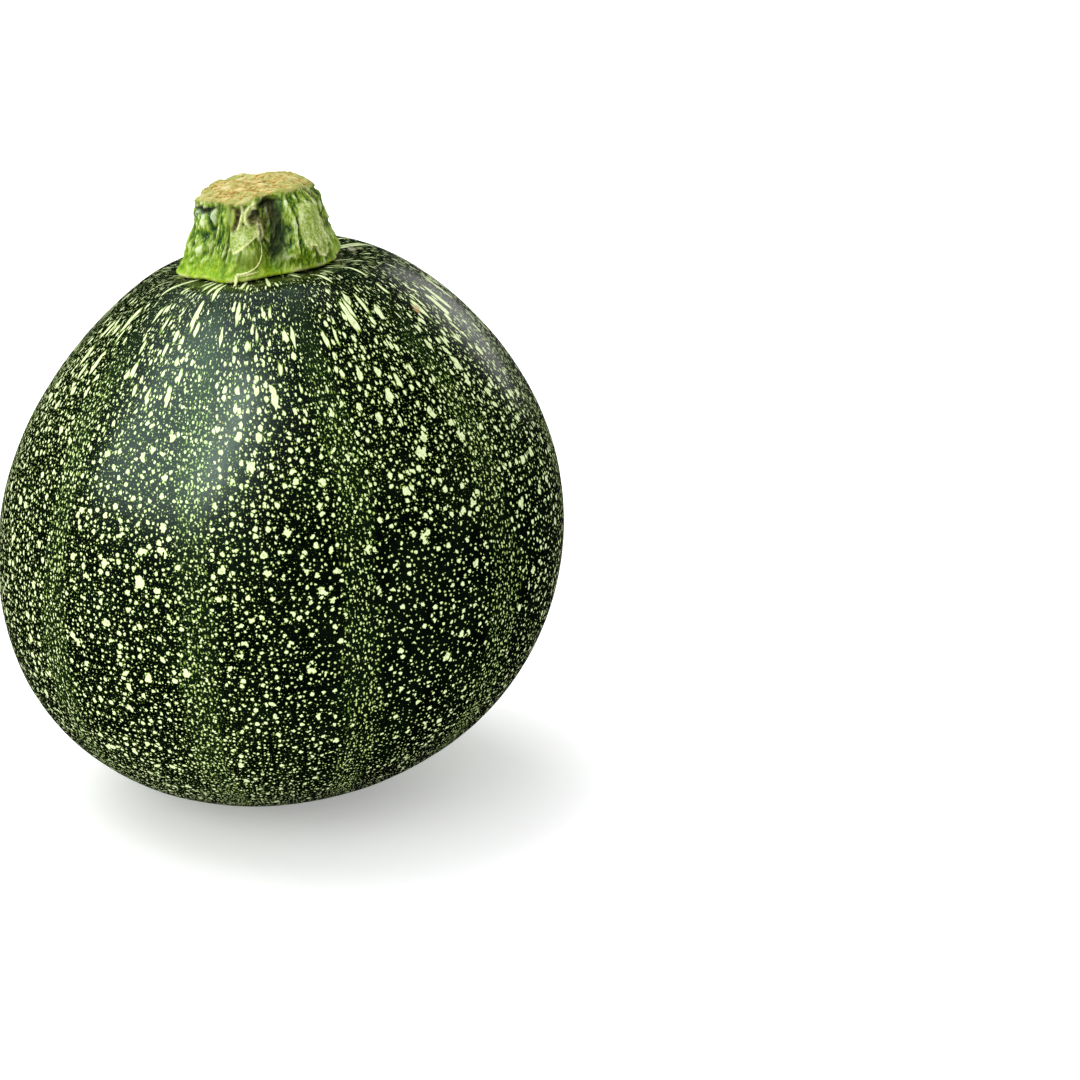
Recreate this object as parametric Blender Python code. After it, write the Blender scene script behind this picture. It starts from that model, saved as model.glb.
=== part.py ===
# Round courgette: one speckled fruit resting on its blossom end, with the ribbed stub of its stalk.
# Metres, +Z up, the front is towards -Y. Azimuths are measured from the front towards +X.

import math

import bpy

for leftover in list(bpy.data.objects):
    bpy.data.objects.remove(leftover, do_unlink=True)

# Fruit sizes: a round body that tapers towards its crown and is fuller low down
FRUIT_RADIUS = 0.049
FRUIT_TAPER = (-0.09, 0.033, -0.085)
HALF_HEIGHT = 0.0503
HEIGHT_EASE = -0.053
REST_RADIUS = 0.0092
LOBE_COUNT = 10
LOBE_DEPTH = 0.00012
FLAT_SIDES = 5
FLAT_SIDE_DEPTH = 0.0002
FLAT_SIDE_TURN = 1.0

# How the middle of the fruit leans and bends sideways, and how its crown's grain runs in to the stem
DRIFT = (0.0031, -0.0019, 0.0003)
STEM_DRIFT = -0.0045
STEM_DRIFT_POWER = 24

# Seat of the stem: it slopes down to the left, rises at the back and eases out round the stem's foot
SEAT_HEIGHT = 0.0444
SEAT_SLOPE = math.radians(5.5)
SEAT_BACK_CURVE = 13
SEAT_REACH = 0.0142
SEAT_EASE = 0.008
SEAT_SOFTNESS = 0.0009

# Stem sizes
STEM_GAP = 0.0003
FOOT_CENTRE = (-0.0026, 0.0)
FOOT_EDGE = 0.0005
CUT_CENTRE = (-0.003, 0.0002, 0.0575)
CUT_TILT = math.radians(4.7)
CUT_ROUNDING = 0.0003
CUT_EDGE = 0.0006
CUT_RELIEF = 0.0002
CUT_WAVE_LENGTH = 0.01
CUT_RIPPLE_LENGTH = 0.006
CUT_RIPPLE_SHARE = 0.6
CUT_CROWN = 0.0005
CORNER_DROOP = 0.0016
SHAFT_RADIUS = 0.0104
FOOT_FLARE = 0.0031
FLARE_POWER = 2.6
CUT_TAPER = 0.0011
TAPER_POWER = 5
# Ribs of the stem: azimuth in degrees, half width in degrees, height in metres
RIBS = (
    (-76, 18, 0.0016),
    (-16, 12.5, 0.0014),
    (52, 20, 0.0017),
    (122, 18, 0.0015),
    (-150, 18.5, 0.0016),
)
# Narrow furrows cut between and into the ribs: azimuth, half width, depth
FURROWS = (
    (15, 8, 0.0015),
    (-45, 6, 0.0007),
    (88, 6, 0.0007),
    (160, 7, 0.0009),
    (-112, 6, 0.0007),
)
FURROW_DEEPEST = 0.55
FURROW_FOOT_SHARE = 0.45

# Fineness of the two meshes
FRUIT_SEGMENTS = 84
FRUIT_RINGS = 46
RING_CROWDING = 0.5
STEM_SEGMENTS = 96
STEM_RINGS = 11
CUT_RINGS = 4
SOLE_RINGS = 5

RIND_COLOUR = (0.035, 0.085, 0.04, 1.0)
RIND_ROUGHNESS = 0.35
STEM_COLOUR = (0.26, 0.4, 0.08, 1.0)
STEM_ROUGHNESS = 0.6


def powers_sum(factors, base):
    return sum(factor * base ** (i + 1) for i, factor in enumerate(factors))


def ring_radius(polar):
    """Radius of the fruit at a polar angle, from 0 at the crown to pi at the blossom end."""
    return FRUIT_RADIUS * math.sin(polar) * (1 + powers_sum(FRUIT_TAPER, math.cos(polar)))


def ring_centre(polar):
    """Sideways place of the ring's centre at a polar angle."""
    rise = math.cos(polar)
    return powers_sum(DRIFT, rise) + STEM_DRIFT * max(0.0, rise) ** STEM_DRIFT_POWER


def ring_height(polar):
    rise = math.cos(polar)
    return HALF_HEIGHT * rise * (1 + HEIGHT_EASE * (1 - rise * rise))


def seat_drop(x, y, dome):
    """How far the seat of the stem lies below the plain dome at a point."""
    seat = SEAT_HEIGHT + math.tan(SEAT_SLOPE) * (x - FOOT_CENTRE[0])
    seat += SEAT_BACK_CURVE * max(0.0, y) ** 2
    over = SEAT_SOFTNESS * math.log1p(math.exp((dome - seat) / SEAT_SOFTNESS))
    distance = math.hypot(x - FOOT_CENTRE[0], y - FOOT_CENTRE[1])
    away = min(1.0, max(0.0, (distance - SEAT_REACH) / SEAT_EASE))
    return over * (1 - away * away * (3 - 2 * away))


def fruit_point(polar, azimuth):
    lobes = LOBE_DEPTH * math.cos(LOBE_COUNT * azimuth)
    flats = FLAT_SIDE_DEPTH * math.cos(FLAT_SIDES * azimuth + FLAT_SIDE_TURN)
    radius = ring_radius(polar) + math.sin(polar) ** 2 * (lobes + flats)
    x = ring_centre(polar) + radius * math.sin(azimuth)
    y = -radius * math.cos(azimuth)
    z = ring_height(polar)
    return x, y, z - seat_drop(x, y, z)


def crown_height(x, y):
    """Height of the fruit's surface over a point near its crown."""
    low, high = 0.0, math.pi / 2
    while high - low > 1e-6:
        polar = (low + high) / 2
        if math.hypot(x - ring_centre(polar), y) > ring_radius(polar):
            low = polar
        else:
            high = polar
    return ring_height(low) - seat_drop(x, y, ring_height(low))


def hump(azimuth, place, half_width):
    """A smooth bump of height 1 at a place round the stem, half as high at its half width."""
    away = (math.degrees(azimuth) - place + 180) % 360 - 180
    return 0.5 ** ((away / half_width) ** 2)


def stem_radius(azimuth, rise):
    """Distance of the stem's side from its axis, at a rise from 0, its foot, to 1, its cut."""
    radius = SHAFT_RADIUS + FOOT_FLARE * (1 - rise) ** FLARE_POWER - CUT_TAPER * rise**TAPER_POWER
    ribs = sum(height * hump(azimuth, place, wide) for place, wide, height in RIBS)
    middle = sum(height for _, _, height in RIBS) / (2 * len(RIBS))
    furrows = sum(depth * hump(azimuth, place, wide) for place, wide, depth in FURROWS)
    shallower = (1 - FURROW_FOOT_SHARE) * (rise / FURROW_DEEPEST - 1) ** 2
    return radius + ribs - middle - furrows * (1 - shallower)


def stem_axis(rise):
    return tuple(a + (b - a) * rise for a, b in zip(FOOT_CENTRE, CUT_CENTRE))


def cut_height(x, y):
    """Height of the slanted, uneven cut face, which droops at its front left corner."""
    along, across = x - CUT_CENTRE[0], y - CUT_CENTRE[1]
    turn = 2 * math.pi
    waves = math.sin(turn * x / CUT_WAVE_LENGTH) * math.cos(turn * y / CUT_WAVE_LENGTH)
    waves += CUT_RIPPLE_SHARE * math.sin(turn * (x + y) / CUT_RIPPLE_LENGTH)
    to_corner = max(0.0, -along - across) / SHAFT_RADIUS
    slant = math.tan(CUT_TILT) * along - CORNER_DROOP * to_corner**2 / 2
    crown = CUT_CROWN * (1 - (along**2 + across**2) / SHAFT_RADIUS**2)
    return CUT_CENTRE[2] + slant + crown + CUT_RELIEF * waves


def stem_point(azimuth, rise):
    radius = stem_radius(azimuth, rise)
    centre = stem_axis(rise)
    x = centre[0] + radius * math.sin(azimuth)
    y = centre[1] - radius * math.cos(azimuth)
    foot_radius = stem_radius(azimuth, 0)
    foot_x = FOOT_CENTRE[0] + foot_radius * math.sin(azimuth)
    foot_y = FOOT_CENTRE[1] - foot_radius * math.cos(azimuth)
    foot = crown_height(foot_x, foot_y) + STEM_GAP + FOOT_EDGE
    cut_radius = stem_radius(azimuth, 1)
    cut_x = CUT_CENTRE[0] + cut_radius * math.sin(azimuth)
    cut_y = CUT_CENTRE[1] - cut_radius * math.cos(azimuth)
    top = cut_height(cut_x, cut_y) - CUT_ROUNDING
    return x, y, foot + (top - foot) * rise


def closed_stack(name, rings, low_middle, high_middle):
    """One closed mesh from rings of points, from the lowest ring up, and the middle of each end."""
    count = len(rings[0])
    points = [low_middle] + [point for ring in rings for point in ring] + [high_middle]
    last = len(points) - 1
    faces = [(0, 1 + (i + 1) % count, 1 + i) for i in range(count)]
    for row in range(len(rings) - 1):
        start = 1 + row * count
        for i in range(count):
            j = (i + 1) % count
            faces.append((start + i, start + j, start + count + j, start + count + i))
    start = 1 + (len(rings) - 1) * count
    faces += [(start + i, start + (i + 1) % count, last) for i in range(count)]
    mesh = bpy.data.meshes.new(name)
    mesh.from_pydata(points, [], faces)
    mesh.shade_smooth()
    piece = bpy.data.objects.new(name, mesh)
    bpy.context.scene.collection.objects.link(piece)
    return piece


def give_material(piece, name, colour, roughness):
    material = bpy.data.materials.new(name)
    material.use_nodes = True
    shader = material.node_tree.nodes["Principled BSDF"]
    shader.inputs["Base Color"].default_value = colour
    shader.inputs["Roughness"].default_value = roughness
    material.diffuse_color = colour
    piece.data.materials.append(material)


def azimuths(count):
    return [2 * math.pi * i / count for i in range(count)]


# The fruit, from its resting spot up to its crown
rest_polar = math.pi - math.asin(REST_RADIUS / FRUIT_RADIUS / (1 + powers_sum(FRUIT_TAPER, -1)))
fruit_rings = []
for row in range(FRUIT_RINGS):
    share = 1 - row / FRUIT_RINGS
    polar = rest_polar * share * (1 - RING_CROWDING * (1 - share))
    fruit_rings.append([fruit_point(polar, azimuth) for azimuth in azimuths(FRUIT_SEGMENTS)])
crown = (ring_centre(0), 0.0)
fruit = closed_stack(
    "fruit",
    fruit_rings,
    (ring_centre(rest_polar), 0.0, ring_height(rest_polar)),
    (*crown, ring_height(0) - seat_drop(*crown, ring_height(0))),
)
give_material(fruit, "rind", RIND_COLOUR, RIND_ROUGHNESS)

# The stem, from its sole over its flared foot and its side to the cut face
turns = azimuths(STEM_SEGMENTS)
sole = []
for step in range(1, SOLE_RINGS + 1):
    ring = []
    for azimuth in turns:
        radius = (stem_radius(azimuth, 0) - 0.5 * FOOT_EDGE) * step / SOLE_RINGS
        x = FOOT_CENTRE[0] + radius * math.sin(azimuth)
        y = FOOT_CENTRE[1] - radius * math.cos(azimuth)
        ring.append((x, y, crown_height(x, y) + STEM_GAP))
    sole.append(ring)
side = [
    [stem_point(azimuth, rise / STEM_RINGS) for azimuth in turns]
    for rise in range(STEM_RINGS + 1)
]
cut = []
for step in range(CUT_RINGS):
    share = 1 - step / CUT_RINGS
    ring = []
    for azimuth in turns:
        radius = (stem_radius(azimuth, 1) - CUT_EDGE) * share
        x = CUT_CENTRE[0] + radius * math.sin(azimuth)
        y = CUT_CENTRE[1] - radius * math.cos(azimuth)
        ring.append((x, y, cut_height(x, y)))
    cut.append(ring)
stem = closed_stack(
    "stem",
    sole + side + cut,
    (*FOOT_CENTRE, crown_height(*FOOT_CENTRE) + STEM_GAP),
    (CUT_CENTRE[0], CUT_CENTRE[1], cut_height(CUT_CENTRE[0], CUT_CENTRE[1])),
)
give_material(stem, "stalk", STEM_COLOUR, STEM_ROUGHNESS)

# Both pieces moved so that the box round them stands on the origin
points = [vertex.co for piece in (fruit, stem) for vertex in piece.data.vertices]
shift = [
    -(min(p[0] for p in points) + max(p[0] for p in points)) / 2,
    -(min(p[1] for p in points) + max(p[1] for p in points)) / 2,
    -min(p[2] for p in points),
]
for point in points:
    point[0] += shift[0]
    point[1] += shift[1]
    point[2] += shift[2]
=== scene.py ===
import math

import bpy
import numpy as np
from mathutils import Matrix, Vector, noise
from mathutils.bvhtree import BVHTree


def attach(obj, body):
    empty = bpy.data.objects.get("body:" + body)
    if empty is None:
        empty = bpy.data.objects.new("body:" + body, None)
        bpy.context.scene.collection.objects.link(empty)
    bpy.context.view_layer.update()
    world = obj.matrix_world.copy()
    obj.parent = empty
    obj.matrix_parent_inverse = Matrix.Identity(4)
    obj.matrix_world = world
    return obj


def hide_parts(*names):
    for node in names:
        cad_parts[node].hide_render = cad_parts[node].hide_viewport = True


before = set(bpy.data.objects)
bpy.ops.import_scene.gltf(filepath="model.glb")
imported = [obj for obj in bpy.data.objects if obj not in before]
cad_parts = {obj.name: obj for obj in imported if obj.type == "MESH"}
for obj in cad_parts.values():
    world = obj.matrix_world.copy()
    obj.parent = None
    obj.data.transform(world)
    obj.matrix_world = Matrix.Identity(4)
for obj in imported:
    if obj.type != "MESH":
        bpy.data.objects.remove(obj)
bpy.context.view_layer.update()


# The rind: the whole outside of the grown fruit, one thick-walled swollen ball with a smooth waxy skin.
# It starts as a cube of fine squares blown into a ball, which is drawn onto the fruit's grown shape.
# The blossom end, which it stands on, keeps the corky scar where the flower dropped off.

FRUIT_MIDDLE = 0.0497
WIDEST_LEVEL = FRUIT_MIDDLE - 0.003
WIDEST_RADIUS = 0.0492
BALL_SIZE = 0.14
SQUARES = 100
FACET_SMOOTHING = 26
WAVE_SIZE = 0.022
WAVE_HEIGHT = 0.00035
SCAR_CENTRE = (-0.0040, 0.0)
SCAR_RADIUS = 0.0098
SCAR_EDGE = 0.0016
SCAR_RING = 0.0031
SCAR_DEPTH = 0.0007
CRUST_HEIGHT = 0.0003
CROWN_LEAN = -0.0027
CROWN_STRETCH = 0.77
LOWEST_CLIMB = -1.45
VEINS = 11
GAP_TURN = math.radians(4.4)
# The turn, in radians, that the side painted in shade faces
SHADED_SIDE_TURN = 0.65

# Each kind of fleck fills cells of its own size, in metres
BLOTCH_CELL = 0.0036
STAR_CELL = 0.0105
STREAK_CELL = 0.0042
MIDDLING_CELL = 0.0019
SMALL_CELL = 0.00102
DUST_CELL = 0.00056
PEPPER_CELL = 0.00064

DEEPEST_GREEN = (0.0004, 0.0016, 0.0006, 1)
DEEP_GREEN = (0.0016, 0.0055, 0.0018, 1)
VEIN_GREEN = (0.008, 0.022, 0.005, 1)
FLECK_EDGE = (0.02, 0.05, 0.006)
FLECK_GREEN = (0.19, 0.30, 0.045)
FLECK_PALE = (0.50, 0.61, 0.22)
FLECK_CREAM = (0.72, 0.81, 0.47)
FLECK_DULL = (0.34, 0.38, 0.13, 1)
SCAR_BROWN = (0.16, 0.10, 0.045, 1)
SCAR_TAN = (0.55, 0.43, 0.24, 1)
SKIN_SPECULAR = 0.13

bpy.ops.object.select_all(action="DESELECT")
bpy.ops.mesh.primitive_cube_add(size=BALL_SIZE, location=(0, 0, FRUIT_MIDDLE))
rind = bpy.context.object
rind.name = rind.data.name = "rind"
bpy.ops.object.mode_set(mode="EDIT")
bpy.ops.mesh.subdivide(number_cuts=SQUARES)
bpy.ops.transform.tosphere(value=1)
bpy.ops.object.mode_set(mode="OBJECT")
bpy.ops.object.transform_apply(location=True, rotation=True, scale=True)


def points_of(mesh):
    """The mesh's points as an array of rows x, y, z."""
    flat = np.empty(len(mesh.vertices) * 3)
    mesh.vertices.foreach_get("co", flat)
    return flat.reshape(-1, 3)


def put_points(mesh, points):
    mesh.vertices.foreach_set("co", points.reshape(-1))
    mesh.update()


def unfold_in_six(mesh, middle):
    """A map of six squares, three across and two up, one for each face that the ball was blown from."""
    outward = points_of(mesh) - middle
    corners = np.empty(len(mesh.loops), int)
    mesh.loops.foreach_get("vertex_index", corners)
    around = outward[corners].reshape(-1, 4, 3)
    centre = around.mean(1)
    major = abs(centre).argmax(1)
    rows = np.arange(len(centre))
    low_side = centre[rows, major] < 0
    first, second = (major + 1) % 3, (major + 2) % 3
    span = abs(around[rows[:, None], np.arange(4), major[:, None]])
    across = np.arctan2(around[rows[:, None], np.arange(4), first[:, None]], span)
    upward = np.arctan2(around[rows[:, None], np.arange(4), second[:, None]], span)
    square = np.stack([across, upward], 2) / (math.pi / 2) * 0.985 + 0.5
    placed = square + np.stack([major, low_side], 1)[:, None, :]
    layer = mesh.uv_layers[0] if mesh.uv_layers else mesh.uv_layers.new()
    layer.name = "OFBake"
    layer.data.foreach_set("uv", (placed / (3, 2)).reshape(-1))


def modify(piece, kind, **settings):
    """Adds one modifier with these settings and applies it."""
    modifier = piece.modifiers.new(kind.title(), kind)
    for name, value in settings.items():
        setattr(modifier, name, value)
    bpy.context.view_layer.objects.active = piece
    bpy.ops.object.modifier_apply(modifier=modifier.name)


unfold_in_six(rind.data, np.array((0, 0, FRUIT_MIDDLE)))
modify(rind, "SHRINKWRAP", target=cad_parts["fruit"], wrap_method="PROJECT",
       use_negative_direction=True, use_positive_direction=False)
modify(rind, "SMOOTH", factor=0.5, iterations=FACET_SMOOTHING)
waves = bpy.data.textures.new("slow waves", "CLOUDS")
waves.noise_scale = WAVE_SIZE
waves.noise_depth = 2
modify(rind, "DISPLACE", texture=waves, texture_coords="LOCAL", strength=WAVE_HEIGHT, mid_level=1.0)

# The scar is pressed in, with rings and a crumbly crust, and the fruit then stands on its lowest point
skin = points_of(rind.data)
from_scar = np.hypot(skin[:, 0] - SCAR_CENTRE[0], skin[:, 1] - SCAR_CENTRE[1])
underneath = skin[:, 2] < 0.01
for i in np.nonzero(underneath & (from_scar < 1.5 * SCAR_RADIUS))[0]:
    place = Vector(skin[i])
    ragged = SCAR_EDGE * noise.noise(place * 420) + SCAR_EDGE / 2 * noise.noise(place * 1100)
    inside = min(1.0, max(0.0, (SCAR_RADIUS + ragged - from_scar[i]) / SCAR_EDGE))
    rings = 0.5 + 0.5 * math.cos(2 * math.pi * (from_scar[i] + ragged) / SCAR_RING)
    crust = 0.5 + 0.5 * noise.fractal(place * 900, 1.0, 2.0, 3)
    skin[i, 2] += inside * (SCAR_DEPTH * (0.45 + 0.3 * rings) + CRUST_HEIGHT * crust)
skin[:, 2] -= skin[:, 2].min()
put_points(rind.data, skin)
bpy.ops.object.shade_smooth()


def put(tree, kind, sockets=None, **settings):
    """One shader node: sockets maps an input's name or number to a value or to another node's output."""
    made = tree.nodes.new("ShaderNode" + kind)
    for name, value in settings.items():
        setattr(made, name, value)
    for key, value in (sockets or {}).items():
        if isinstance(value, bpy.types.NodeSocket):
            tree.links.new(value, made.inputs[key])
        else:
            made.inputs[key].default_value = value
    return made


def calc(tree, operation, *values, clamp=False):
    return put(tree, "Math", dict(enumerate(values)), operation=operation, use_clamp=clamp).outputs[0]


def vector(tree, operation, *values, output=0, **named):
    sockets = {**dict(enumerate(values)), **named}
    return put(tree, "VectorMath", sockets, operation=operation).outputs[output]


def ease(tree, value, low, high, to_low=0.0, to_high=1.0):
    """Smooth step from to_low, at or under low, to to_high, at or over high."""
    sockets = {"Value": value, "From Min": low, "From Max": high, "To Min": to_low, "To Max": to_high}
    return put(tree, "MapRange", sockets, interpolation_type="SMOOTHSTEP").outputs["Result"]


def tint(tree, share, under, over):
    """Under at share 0, over at share 1."""
    return put(tree, "Mix", {0: share, 6: under, 7: over}, data_type="RGBA").outputs[2]


def grain(tree, place, size, detail=2.0, roughness=0.55):
    """Noise from 0 to 1 whose grains are about this size, in metres."""
    sockets = {"Vector": place, "Scale": 1 / size, "Detail": detail, "Roughness": roughness}
    return put(tree, "TexNoise", sockets).outputs["Fac"]


def ramp(tree, value, *stops):
    """Colours by value: each stop is a position and a colour, in rising order."""
    made = put(tree, "ValToRGB", {0: value})
    elements = made.color_ramp.elements
    for element, (position, shade) in zip((elements[0], elements[1]), (stops[0], stops[-1])):
        element.position, element.color = position, (*shade, 1)
    for position, shade in stops[1:-1]:
        elements.new(position).color = (*shade, 1)
    return made.outputs[0]


def new_material(name):
    material = bpy.data.materials.new(name)
    material.use_nodes = True
    tree = material.node_tree
    return material, tree, tree.nodes["Principled BSDF"]


# Pale flecks in the skin: one layer of irregular spots, one at most in each cell, deepest in its middle
flecks = bpy.data.node_groups.new("Flecks", "ShaderNodeTree")
flecks.interface.new_socket(name="Place", in_out="INPUT", socket_type="NodeSocketVector")
for socket in ("Cell", "Size", "Share", "Ragged", "Fray"):
    flecks.interface.new_socket(name=socket, in_out="INPUT", socket_type="NodeSocketFloat")
flecks.interface.new_socket(name="Depth", in_out="OUTPUT", socket_type="NodeSocketFloat")
given = flecks.nodes.new("NodeGroupInput").outputs
steps = vector(flecks, "SCALE", given["Place"], Scale=calc(flecks, "DIVIDE", 1.0, given["Cell"]))
tear = put(flecks, "TexNoise", {"Vector": steps, "Scale": given["Fray"], "Detail": 2.0, "Roughness": 0.7},
           noise_dimensions="2D").outputs["Color"]
tear = vector(flecks, "SUBTRACT", tear, (0.5, 0.5, 0.5))
tear = vector(flecks, "SCALE", tear, Scale=given["Ragged"])
steps = vector(flecks, "ADD", steps, tear)
cells = put(flecks, "TexVoronoi", {"Vector": steps, "Scale": 1.0, "Randomness": 0.82},
            feature="F1", voronoi_dimensions="2D").outputs
chance = put(flecks, "SeparateColor", {"Color": cells["Color"]}).outputs
there = calc(flecks, "LESS_THAN", chance["Green"], given["Share"])
spread = calc(flecks, "POWER", chance["Red"], 1.6)
reach = calc(flecks, "MULTIPLY", there, calc(flecks, "MULTIPLY_ADD", spread, 0.55, 0.45))
reach = calc(flecks, "MULTIPLY", reach, given["Size"])
depth = calc(flecks, "SUBTRACT", reach, cells["Distance"])
depth = calc(flecks, "DIVIDE", depth, calc(flecks, "MAXIMUM", given["Size"], 0.01))
flecks.links.new(depth, flecks.nodes.new("NodeGroupOutput").inputs["Depth"])

# Turn round the fruit's leaning axis, and climb from its widest level to the stem, both in radians
rind_look, tree, shader = new_material("rind")
place = put(tree, "TexCoord").outputs["Object"]
axes = put(tree, "SeparateXYZ", {0: place}).outputs
x = calc(tree, "SUBTRACT", axes["X"], ease(tree, axes["Z"], 0.04, 0.097, 0.0, CROWN_LEAN))
ahead = calc(tree, "MULTIPLY", axes["Y"], -1.0)
z = calc(tree, "SUBTRACT", axes["Z"], WIDEST_LEVEL)
radius = calc(tree, "ADD", calc(tree, "MULTIPLY", x, x), calc(tree, "MULTIPLY", ahead, ahead))
radius = calc(tree, "SQRT", radius)
sideways = calc(tree, "SUBTRACT", calc(tree, "MULTIPLY", x, math.cos(GAP_TURN)),
                calc(tree, "MULTIPLY", ahead, math.sin(GAP_TURN)))
forwards = calc(tree, "ADD", calc(tree, "MULTIPLY", x, math.sin(GAP_TURN)),
                calc(tree, "MULTIPLY", ahead, math.cos(GAP_TURN)))
turn = calc(tree, "ARCTAN2", sideways, forwards)
climb = calc(tree, "MAXIMUM", calc(tree, "ARCTAN2", z, radius), LOWEST_CLIMB)

# The skin was stretched along the fruit as it grew, so the flecks lie on a map of turns and climbs
# that makes them long and thin round the stem, and keeps them round but smaller towards the blossom end
above = calc(tree, "SINE", calc(tree, "MULTIPLY", climb, CROWN_STRETCH))
above = calc(tree, "DIVIDE", above, CROWN_STRETCH)
below = calc(tree, "TANGENT", calc(tree, "MULTIPLY_ADD", climb, 0.5, math.pi / 4))
below = calc(tree, "LOGARITHM", calc(tree, "MINIMUM", below, 1.0), math.e)
below = calc(tree, "MULTIPLY", below, 0.55)
below = calc(tree, "MULTIPLY_ADD", calc(tree, "MINIMUM", climb, 0.0), 0.45, below)
upper = calc(tree, "GREATER_THAN", climb, 0.0)
rise = calc(tree, "ADD", calc(tree, "MULTIPLY", above, upper), below)
across = calc(tree, "MULTIPLY", turn, WIDEST_RADIUS)
upwards = calc(tree, "MULTIPLY", rise, WIDEST_RADIUS)
grown = put(tree, "CombineXYZ", {0: across, 1: upwards}).outputs[0]
drawn = vector(tree, "MULTIPLY", grown, (1.0, 0.5, 1.0))

# Eleven veins run from the stem to the blossom end: clean near the stem, and closely peppered below
wobble = grain(tree, place, 0.02, 1.0)
vein = calc(tree, "ADD", turn, calc(tree, "MULTIPLY_ADD", wobble, 0.12, -0.06))
vein = calc(tree, "COSINE", calc(tree, "MULTIPLY_ADD", vein, float(VEINS), math.pi))
vein = ease(tree, vein, 0.62, 0.97)
vein = calc(tree, "MULTIPLY", vein, ease(tree, grain(tree, place, 0.02, 2.0), 0.35, 0.6, 0.65, 1.0))
clean = calc(tree, "MULTIPLY", vein, ease(tree, climb, 0.55, 1.05))
peppered = calc(tree, "SUBTRACT", vein, clean)

# The flecks shrink on the veins and at the stem's foot, and stop short of the line behind the fruit where
# the map of turns ends. The lower right, which gets less light, is painted in shade: its flecks are made
# smaller and dimmer and its veins less green
seam = ease(tree, calc(tree, "ABSOLUTE", turn), math.pi - 0.05, math.pi - 0.015, 1.0, 0.0)
sparse = calc(tree, "MULTIPLY", calc(tree, "MULTIPLY_ADD", vein, -0.75, 1.0), seam)
shaded_side = ease(tree, calc(tree, "COSINE", calc(tree, "ADD", turn, -SHADED_SIDE_TURN)), 0.6, 0.98)
shaded_side = calc(tree, "MULTIPLY", shaded_side, ease(tree, climb, 0.55, 0.15))
swell = ease(tree, climb, -0.4, 0.7, 0.96, 1.12)
swell = calc(tree, "MULTIPLY", swell, ease(tree, climb, 1.22, 1.34, 1.0, 0.45))
swell = calc(tree, "MULTIPLY", swell, calc(tree, "MULTIPLY_ADD", shaded_side, -0.17, 0.98))
swell = calc(tree, "MULTIPLY", swell, calc(tree, "MULTIPLY_ADD", clean, -0.35, 1.0))
bigger = calc(tree, "MULTIPLY", sparse, swell)


def scatter(where, cell, size, share, ragged, fray=2.3):
    """Depth within the flecks of one layer; size is their radius and share their number, both per cell."""
    layer = tree.nodes.new("ShaderNodeGroup")
    layer.node_tree = flecks
    given = {"Place": where, "Cell": cell, "Size": size, "Share": share, "Ragged": ragged, "Fray": fray}
    for name, value in given.items():
        if isinstance(value, bpy.types.NodeSocket):
            tree.links.new(value, layer.inputs[name])
        else:
            layer.inputs[name].default_value = value
    return layer.outputs["Depth"]


# The larger flecks come first, and the smaller ones get only the room that is left between them
blotches = scatter(grown, BLOTCH_CELL, calc(tree, "MULTIPLY", bigger, 0.23), 0.68, 0.5)
stars = scatter(grown, STAR_CELL, calc(tree, "MULTIPLY", seam, 0.10), 0.7, 0.24, fray=8.0)
streaky = calc(tree, "MULTIPLY", ease(tree, climb, 0.40, 0.95), sparse)
streaky = calc(tree, "MULTIPLY", streaky, ease(tree, climb, 1.15, 1.3, 1.0, 1.4))
streaks = scatter(drawn, STREAK_CELL, calc(tree, "MULTIPLY", streaky, 0.31), 0.82, 0.4)
largest = calc(tree, "MAXIMUM", calc(tree, "MAXIMUM", blotches, stars), streaks)
room = ease(tree, largest, -0.4, -0.1, 1.0, 0.0)
room = calc(tree, "MULTIPLY", room, ease(tree, climb, 0.95, 1.15, 1.0, 0.72))
size = calc(tree, "MULTIPLY", room, calc(tree, "MULTIPLY", bigger, 0.31))
middling = scatter(grown, MIDDLING_CELL, size, 0.85, 0.4)
room = calc(tree, "MULTIPLY", room, ease(tree, middling, -0.5, -0.15, 1.0, 0.0))
size = calc(tree, "MULTIPLY", room, calc(tree, "MULTIPLY", swell, 0.32))
small = scatter(grown, SMALL_CELL, size, 0.9, 0.35)
dust = scatter(grown, DUST_CELL, calc(tree, "MULTIPLY", swell, 0.28), 0.8, 0.35)
pepper = scatter(drawn, PEPPER_CELL, 0.37, 0.92, 0.5)

# Painted shade: dust and small flecks are dimmer on the shaded lower right
pale = calc(tree, "MULTIPLY", ease(tree, dust, 0.0, 0.6), calc(tree, "MULTIPLY_ADD", shaded_side, -0.4, 0.48))
small = calc(tree, "MULTIPLY", ease(tree, small, 0.0, 0.38), calc(tree, "MULTIPLY_ADD", shaded_side, -0.2, 0.96))
pepper = calc(tree, "MULTIPLY", peppered, ease(tree, pepper, 0.0, 0.55, 0.0, 0.95))
for layer in (small, ease(tree, middling, 0.0, 0.34), ease(tree, largest, 0.0, 0.28), pepper):
    pale = calc(tree, "MAXIMUM", pale, layer)

deep = tint(tree, ease(tree, grain(tree, place, 0.007, 3.0), 0.35, 0.7), DEEPEST_GREEN, DEEP_GREEN)
# Painted shade: the veins' green is weaker on the shaded lower right
vein_share = calc(tree, "MULTIPLY", vein, calc(tree, "MULTIPLY_ADD", shaded_side, -0.35, 0.5))
deep = tint(tree, vein_share, deep, VEIN_GREEN)
fleck_colour = ramp(tree, pale, (0.08, FLECK_EDGE), (0.40, FLECK_GREEN), (0.72, FLECK_PALE),
                    (1.0, FLECK_CREAM))
colour = tint(tree, ease(tree, pale, 0.0, 0.22), deep, fleck_colour)
dull = ease(tree, grain(tree, place, 0.0011, 3.0, 0.7), 0.45, 0.6)
dull = calc(tree, "MULTIPLY", ease(tree, largest, 0.3, 0.7), dull)
colour = tint(tree, calc(tree, "MULTIPLY", dull, 0.6), colour, FLECK_DULL)


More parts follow.
